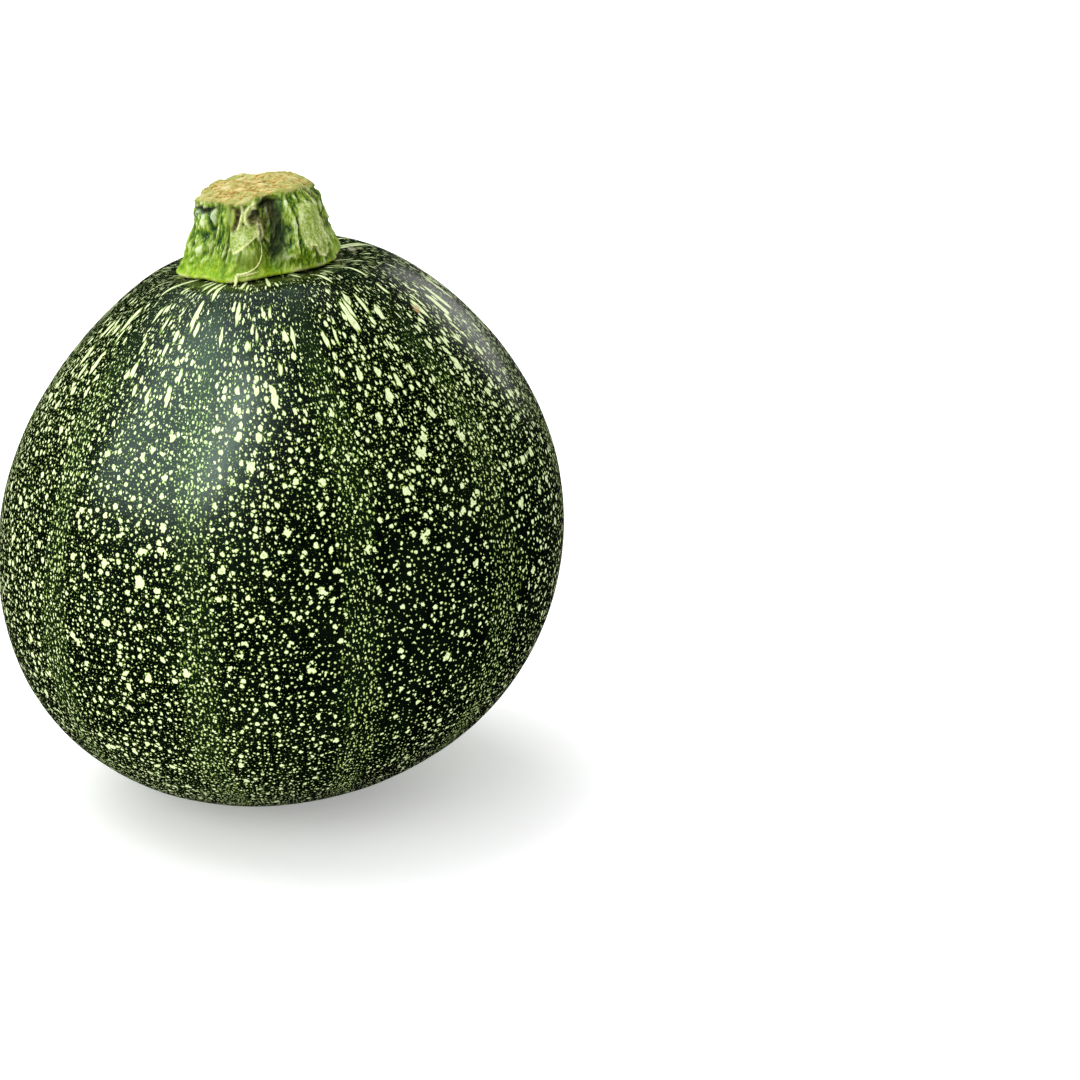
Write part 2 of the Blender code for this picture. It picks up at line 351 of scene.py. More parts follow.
def stain(colour, share, shade, centre, radius, direction=(0, 0, 1), length=1.0):
    """Colours a small mark with torn edges in the skin, drawn out along a direction."""
    direction = Vector(direction).normalized()
    away = vector(tree, "SUBTRACT", place, centre)
    along = vector(tree, "DOT_PRODUCT", away, direction, output="Value")
    along = calc(tree, "MULTIPLY", along, 1 - 1 / length)
    away = vector(tree, "SUBTRACT", away, vector(tree, "SCALE", direction, Scale=along))
    away = vector(tree, "LENGTH", away, output="Value")
    torn = calc(tree, "MULTIPLY_ADD", grain(tree, place, 0.0006, 3.0, 0.7), 1.4 * radius, -0.7 * radius)
    inside = ease(tree, calc(tree, "ADD", away, torn), radius, 0.6 * radius)
    return tint(tree, calc(tree, "MULTIPLY", inside, share), colour, (*shade, 1))


# Small wounds: a red-brown rub with a grey rim beside the stem, and below it a tan graze
colour = stain(colour, 0.9, (0.42, 0.40, 0.30), (0.0126, 0.0042, 0.0956), 0.0008, (0.42, -0.9, -0.03), 3.2)
colour = stain(colour, 1.0, (0.035, 0.010, 0.008), (0.0126, 0.0048, 0.0957), 0.00055,
               (0.42, -0.9, -0.03), 3.6)
colour = stain(colour, 0.75, (0.50, 0.32, 0.14), (0.0247, -0.0132, 0.0892), 0.0009, (0.4, -0.9, 0), 1.5)

# A dry hooked mark of two strokes
colour = stain(colour, 0.85, (0.62, 0.50, 0.26), (0.0189, -0.0228, 0.0876), 0.00020, (0.5, -0.8, -0.4), 4.0)
colour = stain(colour, 0.85, (0.55, 0.42, 0.22), (0.0204, -0.0224, 0.0874), 0.00020, (0.55, 0.75, 0.25), 4.0)

# A dark speck beside the stem, and in front a dark scratch with a rusty speck
colour = stain(colour, 1.0, (0.002, 0.002, 0.002), (0.0170, -0.0062, 0.0950), 0.00030)
colour = stain(colour, 1.0, (0.002, 0.002, 0.002), (-0.0024, -0.0383, 0.0766), 0.00022, (0.9, 0.2, 0.4), 3.6)
colour = stain(colour, 1.0, (0.30, 0.10, 0.03), (-0.0053, -0.0375, 0.0770), 0.00035)

# The corky scar at the blossom end
side = vector(tree, "DISTANCE", place, (*SCAR_CENTRE, 0.0), output="Value")
side = calc(tree, "ADD", side, calc(tree, "MULTIPLY_ADD", grain(tree, place, 0.0025, 3.0), 0.004, -0.002))
scar = ease(tree, side, SCAR_RADIUS + 0.0012, SCAR_RADIUS - 0.0006)
cork = tint(tree, ease(tree, grain(tree, place, 0.0009, 4.0, 0.7), 0.35, 0.68), SCAR_BROWN, SCAR_TAN)
colour = tint(tree, scar, colour, cork)
tree.links.new(colour, shader.inputs["Base Color"])

# The wax is a little duller on the flecks, and the scar is dry
rough = calc(tree, "MULTIPLY_ADD", grain(tree, place, 0.004, 3.0), 0.12, 0.2)
rough = calc(tree, "MULTIPLY_ADD", pale, 0.08, rough)
rough = calc(tree, "MAXIMUM", rough, calc(tree, "MULTIPLY", scar, 0.9))
tree.links.new(rough, shader.inputs["Roughness"])
shader.inputs["Specular IOR Level"].default_value = SKIN_SPECULAR
relief = calc(tree, "MULTIPLY_ADD", grain(tree, place, 0.0011, 3.0), 0.5, calc(tree, "MULTIPLY", pale, 0.35))
bump = put(tree, "Bump", {"Strength": 0.35, "Distance": 0.00012, "Height": relief})
tree.links.new(bump.outputs[0], shader.inputs["Normal"])
rind.data.materials.clear()
rind.data.materials.append(rind_look)
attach(rind, "root")
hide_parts("fruit")


# The stem: the stub of the stalk that the fruit was cut from, ribbed, fibrous and grown into the rind.
# It starts as the part's own stem, refined to fine even squares, and is then carved: fibres, knobs, a deep
# groove, two worn facets, a torn hollow under the lip of the cut, and the corky cut face itself.

# In metres
STEM_X = -0.0028
STEM_VOXEL = 0.00020
STEM_SINK = 0.00055

# In millimetres: the flank's radius where it is unrolled, and the levels of the cut and of the rind
FLANK_RADIUS = 11.0
CUT_LEVEL = 107.15
CUT_SLOPE = math.tan(math.radians(4.7))
CORNER_DROOP = 1.6
CORNER_REACH = 10.4
FOOT_LEVEL = 94.2
FOOT_SLOPE = 0.096
FOOT_RADIUS = 12

bpy.ops.object.select_all(action="DESELECT")
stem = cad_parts["stem"].copy()
stem.data = stem.data.copy()
stem.name = stem.data.name = "stem_stub"
bpy.context.scene.collection.objects.link(stem)
stem.parent = None
stem.select_set(True)
bpy.context.view_layer.objects.active = stem
bpy.ops.object.mode_set(mode="EDIT")
bpy.ops.mesh.select_all(action="SELECT")
bpy.ops.mesh.remove_doubles(threshold=0.00001)
bpy.ops.object.mode_set(mode="OBJECT")
modify(stem, "REMESH", mode="VOXEL", voxel_size=STEM_VOXEL)
modify(stem, "SMOOTH", factor=0.5, iterations=5)


def step(value, low, high):
    """Smooth step from 0, at or under low, to 1, at or over high; high may be the lower of the two."""
    share = np.clip((value - low) / (high - low), 0, 1)
    return share * share * (3 - 2 * share)


def bell(offset, width):
    """A soft hump: 1 at offset 0, about a third at offset width."""
    return np.exp(-((offset / width) ** 2))


def rough_field(points, size, octaves=3, seed=0.0):
    """Noise from about -1 to 1 at each point, whose grains are about this size in the points' unit."""
    shift = Vector((seed, seed * 1.7, -seed))
    return np.array([noise.fractal(Vector(p) / size + shift, 1.0, 2.1, octaves) for p in points])


# Where each point of the stem lies, in millimetres: round the flank, above the rind and under the cut
stub = points_of(stem.data) * 1000
normals = np.empty(len(stub) * 3)
stem.data.vertices.foreach_get("normal", normals)
normals = normals.reshape(-1, 3)
from_axis_x, from_axis_y = stub[:, 0] - 1000 * STEM_X, stub[:, 1]
azimuth = np.arctan2(from_axis_x, -from_axis_y)
quarter = np.degrees(azimuth)
out = np.hypot(from_axis_x, from_axis_y)
along, up = azimuth * FLANK_RADIUS, stub[:, 2].copy()
corner = np.maximum(0, -from_axis_x - from_axis_y) / CORNER_REACH
cut_level = CUT_LEVEL + CUT_SLOPE * from_axis_x - CORNER_DROOP * corner**2 / 2
under_cut = cut_level - up
above_rind = up - (FOOT_LEVEL + FOOT_SLOPE * from_axis_x - 0.0045 * (out - FOOT_RADIUS) ** 2
                   + 0.013 * np.maximum(0, from_axis_y) ** 2)
top_face = step(normals[:, 2], 0.45, 0.8) * step(under_cut, 2.2, 1.2)
sole = step(normals[:, 2], -0.3, -0.6)
flank = (1 - top_face) * (1 - sole)
waist = flank * step(above_rind, 0.3, 2.0) * step(under_cut, 0.2, 1.0)
ring = np.stack([np.cos(azimuth), np.sin(azimuth), 0 * azimuth], 1)


def unrolled(degrees):
    """How far round the unrolled flank an azimuth lies, in millimetres."""
    return np.radians(degrees) * FLANK_RADIUS


def from_path(path, closed=False):
    """Each point's distance in millimetres, over the unrolled flank, from a path of (azimuth, height)."""
    corners = [(unrolled(azimuth), height) for azimuth, height in path]
    ends = corners[1:] + corners[:1] if closed else corners[1:]
    nearest = np.full(len(along), 1e3)
    for (x0, z0), (x1, z1) in zip(corners, ends):
        length = max(1e-9, (x1 - x0) ** 2 + (z1 - z0) ** 2)
        share = np.clip(((along - x0) * (x1 - x0) + (up - z0) * (z1 - z0)) / length, 0, 1)
        nearest = np.minimum(nearest, np.hypot(along - x0 - share * (x1 - x0), up - z0 - share * (z1 - z0)))
    return nearest


def inside_path(path):
    """Each point's distance in millimetres inside a closed path, negative outside it."""
    corners = [(unrolled(azimuth), height) for azimuth, height in path]
    within = np.zeros(len(along), bool)
    for (x0, z0), (x1, z1) in zip(corners, corners[1:] + corners[:1]):
        if z0 != z1:
            crosses = (z0 > up) != (z1 > up)
            within ^= crosses & (along < x0 + (up - z0) * (x1 - x0) / (z1 - z0))
    distance = from_path(path, closed=True)
    return np.where(within, distance, -distance)


def spot(azimuth, height, wide, tall):
    """A soft round hump of height 1 at a place on the flank."""
    aside = (along - unrolled(azimuth)) / wide
    return np.exp(-aside**2 - ((up - height) / tall) ** 2)


# Rounded fibres with sharp valleys run up the flank; knobs stand between them on the left and in the groove
stretched = stub * (1, 1, 0.18)
ribs = 2.4 * abs(rough_field(stretched, 1.3, 2)) - 0.55
threads = 2.4 * abs(rough_field(stretched, 0.6, 2, seed=9.0)) - 0.55
knobs = 2.4 * abs(rough_field(stub * (1, 1, 0.6), 1.0, 2, seed=4.0)) - 0.55
knobbly = step(along, -2.5, -7.0) * step(along, -24, -15) + spot(26, 98.8, 3.0, 3.5)
knobbly = np.clip(0.15 + knobbly, 0, 1) * step(above_rind, 1.0, 2.5)
detail = 0.30 * ribs + 0.20 * threads + 0.14 * knobs * knobbly
push = waist * detail

# The deep groove right of the middle, and narrower ones on the left
groove_at = np.interp(up, (95, 97.5, 101, 105, 107), (20, 22, 28, 24, 23))
groove = bell(along - unrolled(groove_at), np.interp(up, (95, 99, 107), (1.9, 1.6, 1.4)))
groove_depth = np.interp(up, (94.5, 97, 101, 106), (0.0, 0.5, 1.1, 1.6))
push -= flank * groove * groove_depth * step(under_cut, 0.45, 1.15)
left_groove = bell(along - unrolled(-43) + 0.3 * (up - 100) * 0.1, 0.95)
push -= flank * left_groove * np.interp(up, (95, 98, 103, 105), (0.0, 0.4, 0.4, 0.1))
seam_groove = bell(along - unrolled(-20), 0.4)
push -= flank * seam_groove * np.interp(up, (94.5, 96, 101, 103), (0.1, 0.35, 0.4, 0.0))

# The cut left a ragged lip that overhangs the flank in places
lip_turn = rough_field(ring * 4.2, 1.0, 3, seed=2.0)
lip_sag = 0.35 * rough_field(ring * 7.0, 1.0, 2, seed=3.0)
overhang = np.clip(0.40 + 0.6 * lip_turn, 0.1, 1)
overhang = np.maximum(overhang, 1.0 * spot(-60, 104.5, 3.4, 3))
overhang = np.maximum(overhang, 1.5 * spot(21, 105.5, 2.8, 3))
overhang *= 1 - 0.9 * spot(42, 105, 2.2, 4)
push += flank * overhang * (0.30 * bell(under_cut - 0.2 + lip_sag, 0.38)
                            - 0.66 * bell(under_cut - 1.5 + lip_sag, 0.65))
push += flank * 0.5 * lip_turn * bell(under_cut - 0.2, 0.9)

# Beads under the lip at the left, which get a painted highlight, and beside them the flank's bulge and its
# neck
beads = spot(-68, 103.3, 0.6, 0.7) + spot(-59.5, 103.5, 0.5, 0.8) + spot(-51.5, 103.7, 0.4, 0.5)
push += flank * (0.5 * beads + 0.1 * spot(-84, 103.4, 2.2, 1.2) - 0.6 * spot(-84, 100.9, 3, 1.5))

# The hollow torn under the lip with its curled flaps, the leaf-shaped dent beside it and its crevice, the
# tear down to a small pit, and the swollen belly under them; all as (azimuth, height) on the flank
LEAF = ((-27, 105.6), (-25.5, 103.6), (-21, 102.2), (-15, 101.5), (-12.5, 103), (-13.5, 105.4))
CREVICE = ((-17.5, 105.2), (-13.5, 104.9), (-11.2, 103.8), (-11.8, 102.6), (-14.8, 101.6))
TORN_EDGE = ((-8.4, 105.4), (-7.2, 104.3), (-7.8, 103.2), (-10.0, 101.9))
FLAP = ((-1.6, 102.4), (-4.4, 103.2), (-3.8, 104.4), (-0.8, 105.2), (3.5, 105.7), (7.5, 105.8))
FOLD = ((-0.8, 103.9), (0.4, 104.7), (3.2, 105.0), (6.0, 104.9))
TEAR = ((7.4, 102.4), (10.6, 102.2), (12.6, 101.2), (11.4, 100.2), (9.6, 99.7))
leaf_in = inside_path(LEAF)
leaf = step(leaf_in, -0.1, 0.35)
crevice = bell(from_path(CREVICE), 0.36)
torn_edge = bell(from_path(TORN_EDGE), 0.24)
flap = bell(from_path(FLAP), 0.27) + 0.7 * bell(from_path(FOLD), 0.2)
tear = bell(from_path(TEAR), 0.26)
belly = spot(-1.5, 97.2, 2.3, 1.9)
hollow = np.minimum(1, 1.6 * spot(4.0, 103.9, 0.95, 0.75))
pit = spot(11, 99.7, 0.5, 0.45)
push = push * (1 - 0.7 * leaf) * (1 - 0.6 * belly)
push += flank * (-0.42 * leaf * step(leaf_in, 0.0, 1.2) + 0.12 * leaf - 0.75 * crevice + 0.34 * torn_edge
                 + 0.42 * flap - 1.4 * hollow - 0.7 * pit + 0.3 * tear)

# Two worn facets with thin dry outlines, open where they run out into the flank
MIDDLE_FACET = ((-16.5, 101.7), (-17.2, 100.4), (-15.6, 98.9), (-13, 98.0), (-9, 98.5), (-3, 99.3),
                (3, 100.2), (8, 101.0), (9.5, 102.0), (3, 102.5), (-6, 102.4), (-12, 102.2))
RIGHT_FACET = ((46, 105.4), (44, 103), (44.5, 100.5), (46, 98.9), (48.5, 98.1), (51, 98.8), (53.5, 98.6),
               (57, 97.2), (63, 96.9), (69, 97.8), (72.5, 99.6), (73, 101.6), (71, 103.8), (66, 105.4))
middle_in, right_in = inside_path(MIDDLE_FACET), inside_path(RIGHT_FACET)
facet = np.maximum(step(middle_in, -0.1, 0.25), step(right_in, -0.1, 0.25))
open_above = np.where(quarter < 52, step(up, 100.8, 99.6), step(up, 103.6, 102.0))
fuzz = 0.12 * rough_field(stub, 0.5, 2, seed=8.0)
lines = bell(middle_in + fuzz, 0.15) * step(up, 101.9, 100.9) * step(quarter, -16.4, -13.5)
lines += bell(right_in + fuzz, 0.15) * open_above
push = push * (1 - 0.6 * facet)
push += flank * (0.13 * lines - 0.2 * step(right_in, 0, 1.6) * step(up, 104.5, 101)
                 - 0.12 * step(middle_in, 0, 1.2))
push += 0.14 * facet * rough_field(stub * (1, 1, 0.4), 0.6, 3, seed=6.0)
push += flank * 0.5 * belly

# The foot ends in a thin wavy lip that lies on the rind
foot_wave = rough_field(ring * 5.0, 1.0, 2, seed=7.0)
push += flank * step(above_rind, 1.5, 0.3) * (0.35 * foot_wave + 0.12)

# The whole stub narrows at the right, where the cut ran out early, and its foot stays short there
push -= out * 0.17 * bell(quarter - 58, 26) * step(under_cut, 4.5, 0)
push += out * 0.10 * bell(quarter + 118, 20) * step(under_cut, 4.0, 0)
push -= out * 0.115 * bell(quarter - 42, 26) * step(above_rind, 3.5, 0.5)
stub[:, :2] += np.stack([from_axis_x / out, from_axis_y / out], 1) * push[:, None]

# The dried cut face: cork with crossing ridges, crumbs and a sunken middle, higher at the back
ridges = 2.2 * abs(rough_field(stub * (0.7, 1.1, 1), 1.5, 4, seed=11.0)) - 0.5
crumbs = rough_field(stub * (0.8, 1, 1), 0.45, 3, seed=13.0)
crown = 0.45 * np.exp(-((from_axis_x - 3.0) / 5.0) ** 2 - ((from_axis_y - 6.0) / 6.0) ** 2)
crown -= 1.2 * step(from_axis_x, 5.0, 10.5) * step(from_axis_y, -8.0, 4.0)
stub[:, 2] += crown * step(under_cut, 4.0, 0.0)
stub[:, 2] += top_face * (0.10 * ridges + 0.16 * crumbs + 0.2 * step(out, 6.5, 9.5) - 0.28)
stub[:, 2] += (1 - top_face) * step(under_cut, 1.6, 0.2) * (0.12 * ridges + 0.35 * lip_sag)
stub[:, 2] -= 1000 * STEM_SINK * step(above_rind, 4.0, 0.0)
put_points(stem.data, stub / 1000)

# What each point of the stem shows, for its colours
# Painted shadow: a near-black line just under the cut's lip at the left lobe and over the groove, and
# painted shade under the lip where it overhangs
left_lobe = step(quarter, -84, -76) * step(quarter, -40, -50)
over_groove = step(quarter, 6, 10) * step(quarter, 37, 30)
lip_shadow = bell(under_cut - 1.15 - 0.35 * over_groove + lip_sag, 0.30) * np.maximum(left_lobe, over_groove)
shaded_lip = overhang * bell(under_cut - 1.5 + lip_sag, 0.5) * step(overhang, 0.55, 1.0)
# Painted highlight on the fibres' tops
fibre_glints = step(detail, 0.28, 0.5) * step(above_rind, 2.0, 4.0) * 0.5
# Painted shade in the grooves, the crevice, the hollow, the pit and under the overhanging lip
painted_shade = (1.2 * groove * step(up, 94.8, 98.5) + crevice + 1.5 * hollow + pit + 0.5 * seam_groove
        + 0.3 * left_groove * step(up, 95.5, 98) + 1.6 * shaded_lip)
brown = (1.2 * spot(6.5, 102.8, 1.9, 0.6) + 0.9 * spot(11, 101, 1.0, 1.3) + crevice
         + 0.35 * spot(17, 104.2, 2.0, 1.3) + 0.8 * spot(88, 102, 1.2, 3) + 0.9 * spot(84, 105.6, 2.0, 1.2))
green_lip = np.clip(1.6 * bell(quarter - 19, 13), 0, 1)
marks = {
    # Painted shade in the fibres' valleys and painted highlight on their tops
    "relief": flank * np.clip(0.41 + 1.3 * detail * (1 - 0.6 * facet), 0, 1),
    "cut": top_face,
    "green": top_face * step(out + 0.8 * crumbs, 6.0, 9.0),
    "cork": np.clip(0.45 + 0.45 * ridges + 0.35 * crumbs, 0, 1),
    "facet": flank * facet,
    "outline": flank * np.clip(lines + 0.9 * torn_edge + 1.1 * flap + 0.6 * tear, 0, 1),
    # Painted highlight on the beads and the fibres' tops
    "pale": flank * np.clip(beads + fibre_glints, 0, 1),
    # Painted shade in the recesses and under the lip
    "painted_shade": flank * np.clip(painted_shade, 0, 1),
    "brown": flank * np.clip(brown, 0, 1),
    # Painted shadow line under the cut's lip
    "lip_shadow": flank * lip_shadow,
    "leaf": flank * np.clip(leaf + 1.1 * belly + spot(17, 106.9, 2.6, 0.5), 0, 1),
    "foot": step(above_rind, 5.0, 0.8) * (1 - 0.75 * step(along, 4.0, 7.0) * step(along, 16, 12)),
    "rim": step(above_rind, 0.95, 0.3) * step(foot_wave, -0.9, 0.1),
    "brink": bell(under_cut - 0.35, 0.45) * (1 - top_face) * step(crumbs, -0.8, 0.3),
    "lip": green_lip * step(out + 0.4 * crumbs, 7.7, 8.5) * step(under_cut, 1.6, 1.1),
}
for name, values in marks.items():
    stem.data.attributes.new(name, "FLOAT", "POINT").data.foreach_set("value", values.astype(np.float32))
bpy.ops.object.shade_smooth()

# A torn thread of skin hangs from the groove's left edge down to the foot. It ends in a clump, from which a
# torn hem runs back along the foot and a pale drip runs on over the rind. Thread and hem are given as
# (azimuth, height in millimetres), the drip as (x, y) in metres, and their radii in millimetres.
THREAD = ((9.6, 99.6), (10.6, 98.4), (9.4, 97.4), (7.4, 96.3), (3.4, 95.6), (-1.4, 95.1), (-5.8, 94.85),
          (-8.8, 94.7))
HEM = ((-8.8, 94.7), (-4.5, 94.72), (-0.5, 94.8), (3.5, 94.95), (6.5, 95.2))
DRIP = ((-0.0050, -0.0142), (-0.0052, -0.0151), (-0.0053, -0.0161))
THREAD_RADII = (0.04, 0.09, 0.07, 0.15, 0.09, 0.19, 0.22, 0.36)
HEM_RADII = (0.34, 0.16, 0.22, 0.11, 0.04)
DRIP_RADII = (0.34, 0.26, 0.17, 0.04)
KNOT_SIZE = 0.00009
KNOTS_PER_METRE = 2600

bpy.context.view_layer.update()
depsgraph = bpy.context.evaluated_depsgraph_get()
flank_tree, rind_tree = BVHTree.FromObject(stem, depsgraph), BVHTree.FromObject(rind, depsgraph)


def laid_on_flank(path):
    """Points just outside the stem's flank, found by looking in from all round."""
    line = []
    for turn_degrees, level in path:
        outward = Vector((math.sin(math.radians(turn_degrees)), -math.cos(math.radians(turn_degrees)), 0))
        start = Vector((STEM_X, 0, level / 1000)) + outward * 0.03
        line.append(flank_tree.ray_cast(start, -outward)[0] + outward * 0.00004)
    return line


def laid_from_above(path):
    """Points just inside the skin of the stem or the rind, whichever is higher."""
    line = []
    for x, y in path:
        looks = [body.ray_cast(Vector((x, y, 0.12)), Vector((0, 0, -1))) for body in (flank_tree, rind_tree)]
        highest = max(found[0].z for found in looks if found[0] is not None)
        line.append(Vector((x, y, highest - 0.00006)))
    return line


def add_strand(name, line, radii):
    """A knotted round strand along a line of points, joined to the stem."""
    curve = bpy.data.curves.new(name, "CURVE")
    curve.dimensions = "3D"
    curve.bevel_depth = 0.001
    curve.bevel_resolution = 2
    curve.use_fill_caps = True
    spline = curve.splines.new("NURBS")
    spline.points.add(len(line) - 1)
    for point, at, radius in zip(spline.points, line, radii):
        point.co = (*at, 1)
        point.radius = radius
    spline.use_endpoint_u = True
    spline.order_u = 3
    spline.resolution_u = 6
    strand = bpy.data.objects.new(name, curve)
    bpy.context.scene.collection.objects.link(strand)
    bpy.ops.object.select_all(action="DESELECT")
    strand.select_set(True)
    bpy.context.view_layer.objects.active = strand
    bpy.ops.object.convert(target="MESH")
    strand = bpy.context.object
    knotted = points_of(strand.data)
    knots = [rough_field(knotted * KNOTS_PER_METRE, 1.0, 1, seed) for seed in (1.0, 2.0, 3.0)]
    knotted += KNOT_SIZE * np.stack(knots, 1)
    put_points(strand.data, knotted)
    outline = strand.data.attributes.new("outline", "FLOAT", "POINT")
    outline.data.foreach_set("value", [1.0] * len(strand.data.vertices))
    bpy.ops.object.shade_smooth()
    stem.select_set(True)
    bpy.context.view_layer.objects.active = stem
    bpy.ops.object.join()


thread_line = laid_on_flank(THREAD)
hem_line = laid_on_flank(HEM)
drip_line = [thread_line[-1]] + laid_from_above(DRIP)
add_strand("thread", thread_line, THREAD_RADII)
add_strand("hem", hem_line, HEM_RADII)
add_strand("drip", drip_line, DRIP_RADII)


def mark(tree, name, share=1.0):
    value = put(tree, "Attribute", attribute_name=name).outputs["Fac"]
    return calc(tree, "MULTIPLY", value, share, clamp=True)


def blend(tree, first, first_share, second):
    """First and second in these shares."""
    return calc(tree, "ADD", calc(tree, "MULTIPLY", first, first_share),
                calc(tree, "MULTIPLY", second, 1 - first_share))


# The grains that the stem's colours and roughness are made of
stem_look, tree, shader = new_material("stalk")
place = put(tree, "TexCoord").outputs["Object"]
thready = vector(tree, "MULTIPLY", place, (1, 1, 0.16))
fine = grain(tree, thready, 0.00034, 3.0, 0.75)
broad = grain(tree, thready, 0.0020, 3.0)
crumbly = grain(tree, place, 0.00045, 3.0, 0.75)
mottle = grain(tree, place, 0.0017, 3.0)
flaky = grain(tree, vector(tree, "MULTIPLY", place, (0.8, 1.15, 1)), 0.00055, 4.0, 0.75)
patchy = ease(tree, mottle, 0.42, 0.58)

# The flank: yellow-green fibres with painted shade in their valleys and painted highlight on their tops, and
# a bright foot
lightness = calc(tree, "MULTIPLY_ADD", fine, 1.1, calc(tree, "MULTIPLY_ADD", broad, 0.6, -0.85))
lightness = calc(tree, "ADD", lightness, mark(tree, "relief"))
lightness = calc(tree, "ADD", lightness, calc(tree, "MULTIPLY_ADD", crumbly, 0.4, -0.2))
colour = ramp(tree, lightness, (0.16, (0.010, 0.026, 0.001)), (0.36, (0.055, 0.13, 0.002)),
              (0.54, (0.17, 0.27, 0.006)), (0.72, (0.34, 0.43, 0.08)), (0.90, (0.56, 0.64, 0.34)))
bright = ramp(tree, blend(tree, fine, 0.6, broad), (0.34, (0.09, 0.21, 0.001)), (0.5, (0.23, 0.40, 0.001)),
              (0.62, (0.47, 0.58, 0.015)))
colour = tint(tree, mark(tree, "foot", 0.85), colour, bright)

# Worn facets, a painted highlight on the beads and the fibres' tops, and pale specks except on the foot
worn = ramp(tree, blend(tree, crumbly, 0.6, broad), (0.38, (0.15, 0.25, 0.015)), (0.48, (0.36, 0.46, 0.08)),
            (0.60, (0.68, 0.75, 0.38)))
colour = tint(tree, mark(tree, "facet", 0.85), colour, worn)
glint = calc(tree, "MULTIPLY", mark(tree, "pale"), ease(tree, crumbly, 0.38, 0.55))
colour = tint(tree, calc(tree, "MULTIPLY", glint, 0.85), colour, (0.52, 0.66, 0.42, 1))
speck = ease(tree, grain(tree, place, 0.00024, 2.0, 0.6), 0.60, 0.70, 0.0, 0.45)
speck = calc(tree, "MULTIPLY", speck, calc(tree, "SUBTRACT", 1.0, mark(tree, "foot")))
colour = tint(tree, speck, colour, (0.52, 0.62, 0.20, 1))

# The olive leaf-shaped dent, painted shade in the grooves, crevice, hollow and pit and under the lip, the
# brown hollow and the dry torn skin
olive = tint(tree, ease(tree, broad, 0.4, 0.6), (0.13, 0.19, 0.015, 1), (0.26, 0.33, 0.045, 1))
colour = tint(tree, mark(tree, "leaf", 0.85), colour, olive)
shade = ramp(tree, fine, (0.50, (0.004, 0.007, 0.001)), (0.64, (0.012, 0.021, 0.003)),
             (0.73, (0.07, 0.10, 0.03)), (0.81, (0.36, 0.44, 0.24)))
colour = tint(tree, mark(tree, "painted_shade", 0.92), colour, shade)
torn = ramp(tree, crumbly, (0.40, (0.02, 0.012, 0.003)), (0.52, (0.12, 0.085, 0.025)),
            (0.64, (0.40, 0.33, 0.14)))
colour = tint(tree, mark(tree, "brown", 0.8), colour, torn)
dry = tint(tree, ease(tree, crumbly, 0.36, 0.54), (0.52, 0.56, 0.15, 1), (0.86, 0.86, 0.42, 1))
colour = tint(tree, mark(tree, "outline", 0.9), colour, dry)
edge = tint(tree, patchy, (0.36, 0.52, 0.01, 1), (0.78, 0.80, 0.30, 1))
colour = tint(tree, mark(tree, "rim", 0.9), colour, edge)

# The cut: cork with green patches, mostly near its edge, its brink, a painted shadow line under its lip and
# the green lip
corky = calc(tree, "ADD", mark(tree, "cork", 0.4), calc(tree, "MULTIPLY", flaky, 0.6))
cork = ramp(tree, corky, (0.30, (0.10, 0.07, 0.01)), (0.40, (0.30, 0.19, 0.035)), (0.50, (0.50, 0.37, 0.10)),
            (0.62, (0.62, 0.53, 0.26)))
cork = tint(tree, ease(tree, mottle, 0.48, 0.60, 0.0, 0.6), cork, (0.30, 0.36, 0.10, 1))
green = calc(tree, "MULTIPLY", mark(tree, "green", 0.55), ease(tree, flaky, 0.36, 0.56))
cork = tint(tree, green, cork, (0.26, 0.33, 0.07, 1))
brink = tint(tree, patchy, (0.20, 0.30, 0.03, 1), (0.50, 0.46, 0.16, 1))
colour = tint(tree, mark(tree, "brink", 0.8), colour, brink)
colour = tint(tree, mark(tree, "lip_shadow", 0.95), colour, (0.004, 0.004, 0.001, 1))
colour = tint(tree, mark(tree, "cut"), colour, cork)
lip = tint(tree, ease(tree, fine, 0.42, 0.6), (0.10, 0.19, 0.01, 1), (0.34, 0.44, 0.08, 1))
colour = tint(tree, mark(tree, "lip", 0.9), colour, lip)
tree.links.new(colour, shader.inputs["Base Color"])

rough = calc(tree, "MULTIPLY_ADD", mark(tree, "cut"), 0.4, calc(tree, "MULTIPLY_ADD", fine, 0.4, 0.30))
rough = calc(tree, "MAXIMUM", rough, mark(tree, "painted_shade", 0.9))
tree.links.new(rough, shader.inputs["Roughness"])
shader.inputs["Specular IOR Level"].default_value = 0.12
height = calc(tree, "ADD", calc(tree, "MULTIPLY", fine, 0.7), calc(tree, "MULTIPLY", crumbly, 0.5))
bump = put(tree, "Bump", {"Strength": 0.8, "Distance": 0.0002, "Height": height})
tree.links.new(bump.outputs[0], shader.inputs["Normal"])
stem.data.materials.clear()
stem.data.materials.append(stem_look)
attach(stem, "root")
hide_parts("stem")


# The table: a plain white sheet of matt paper that runs on past the picture's edges.
# It has a painted glow: it gives off a little light of its own, which lifts its shadows so that it is nearly
# as white as the walls.

SHEET_SIZE = 8
SHEET_WHITE = 0.93
SHEET_GLOW = 0.28

bpy.ops.mesh.primitive_plane_add(size=SHEET_SIZE, location=(0, 0, 0))
table = bpy.context.object
table.name = table.data.name = "table"
table_look, tree, shader = new_material("white sheet")
shader.inputs["Base Color"].default_value = (SHEET_WHITE, SHEET_WHITE, SHEET_WHITE, 1)
shader.inputs["Roughness"].default_value = 0.9
shader.inputs["Specular IOR Level"].default_value = 0.0
shader.inputs["Emission Color"].default_value = (1, 1, 1, 1)
shader.inputs["Emission Strength"].default_value = SHEET_GLOW
table.visible_glossy = False
table.data.materials.append(table_look)


# The light: white studio walls and large softboxes, which light the fruit from above and from the left.
# The wax shows the boxes, not the walls, so some boxes make only its sheen and others only light.

ROOM_LIGHT = 0.80
WHITE_WALLS = 1.0
WALL_SHINE = 0.015

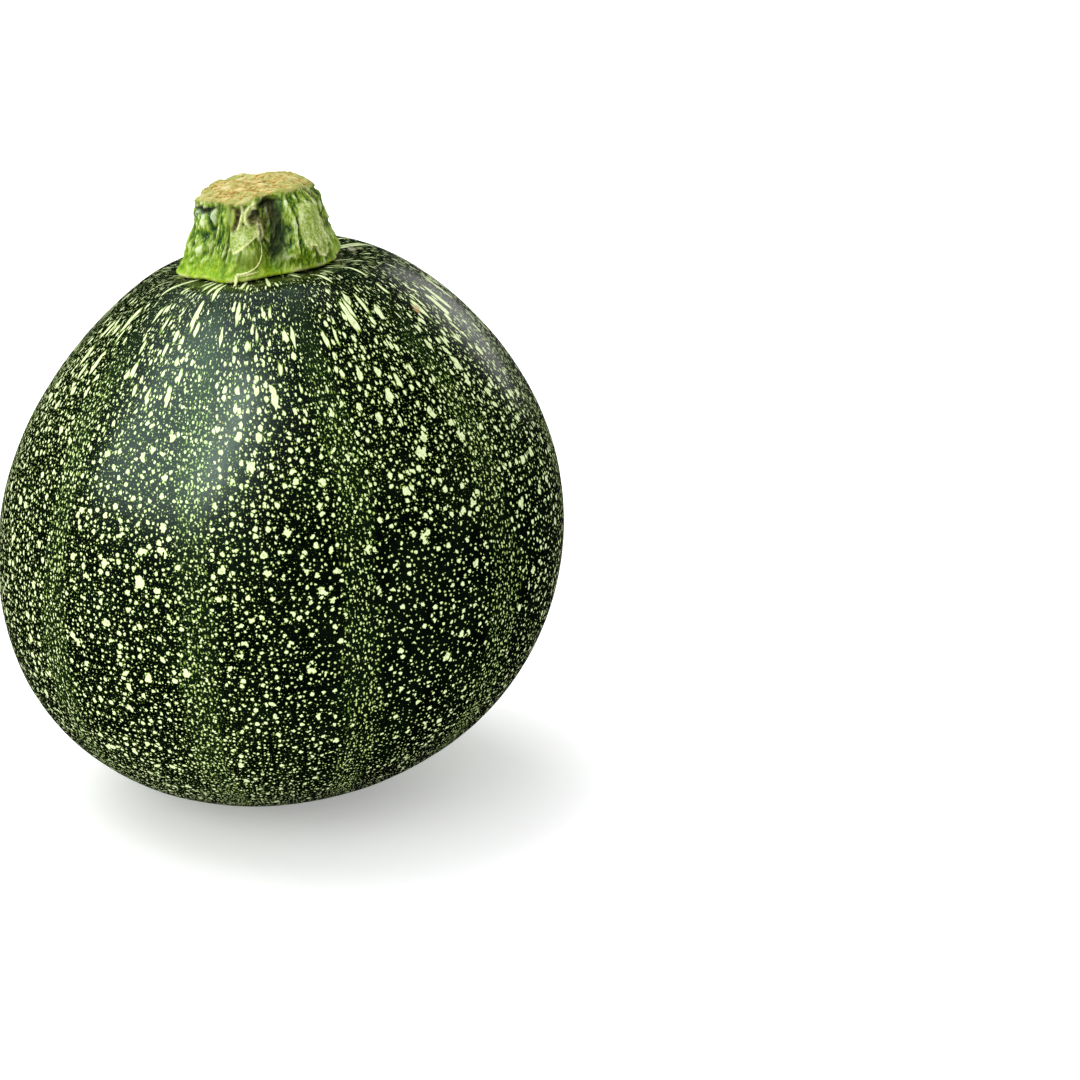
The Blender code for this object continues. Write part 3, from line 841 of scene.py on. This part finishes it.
world = bpy.context.scene.world or bpy.data.worlds.new("studio")
bpy.context.scene.world = world
world.use_nodes = True
sky = world.node_tree
backdrop = sky.nodes["Background"]
ray = put(sky, "LightPath").outputs
strength = calc(sky, "MULTIPLY_ADD", ray["Is Camera Ray"], WHITE_WALLS - ROOM_LIGHT, ROOM_LIGHT)
strength = calc(sky, "MULTIPLY_ADD", ray["Is Glossy Ray"], WALL_SHINE - ROOM_LIGHT, strength)
backdrop.inputs["Color"].default_value = (0.98, 0.99, 1.0, 1)
sky.links.new(strength, backdrop.inputs["Strength"])


def softbox(name, place, aim, size, power, colour=(1, 1, 1), shine=True, light=True, tall=None):
    """A light panel at place that points at aim; shine makes highlights, light makes shade."""
    data = bpy.data.lights.new(name, "AREA")
    data.shape = "RECTANGLE"
    data.size, data.size_y = size, tall or size
    data.energy = power
    data.color = colour
    lamp = bpy.data.objects.new(name, data)
    bpy.context.scene.collection.objects.link(lamp)
    lamp.location = place
    lamp.rotation_euler = (Vector(aim) - Vector(place)).to_track_quat("-Z", "Y").to_euler()
    lamp.visible_glossy = shine
    lamp.visible_diffuse = light


softbox("overhead softbox", (-0.5, 0.35, 1.3), (0, 0, 0.0), 1.4, 15, shine=False)
softbox("crown sheen", (-0.49, 0.343, 1.274), (0, 0, 0.0), 1.37, 12, (0.72, 1.0, 0.92), light=False)
softbox("left fill", (-1.0, -1.1, 0.65), (0, 0, 0.05), 1.4, 13, shine=False)
softbox("wax sheen", (-0.63, -0.39, 0.80), (0, 0, 0.06), 1.1, 34, (0.70, 1.0, 0.87), light=False)
softbox("wax highlight", (-0.37, -0.61, 0.83), (0, 0, 0.06), 0.16, 9, (0.80, 1.0, 0.90), light=False,
        tall=0.75)
softbox("back sheen", (0.58, 1.09, 0.46), (0, 0, 0.08), 0.55, 2, light=False)

bpy.context.scene.view_settings.view_transform = "Standard"


# The camera: a short telephoto lens, which stands in front, a little to the right of the fruit,
# and looks down by nineteen degrees.

CAMERA_PLACE = (0.0448, -0.44566, 0.19778)
CAMERA_FALL = math.radians(19)
LENS = 90
SENSOR_WIDTH = 36

eye = bpy.data.cameras.new("camera")
eye.lens = LENS
eye.sensor_width = SENSOR_WIDTH
camera = bpy.data.objects.new("camera", eye)
bpy.context.scene.collection.objects.link(camera)
camera.location = CAMERA_PLACE
camera.rotation_euler = (math.pi / 2 - CAMERA_FALL, 0, 0)
bpy.context.scene.camera = camera
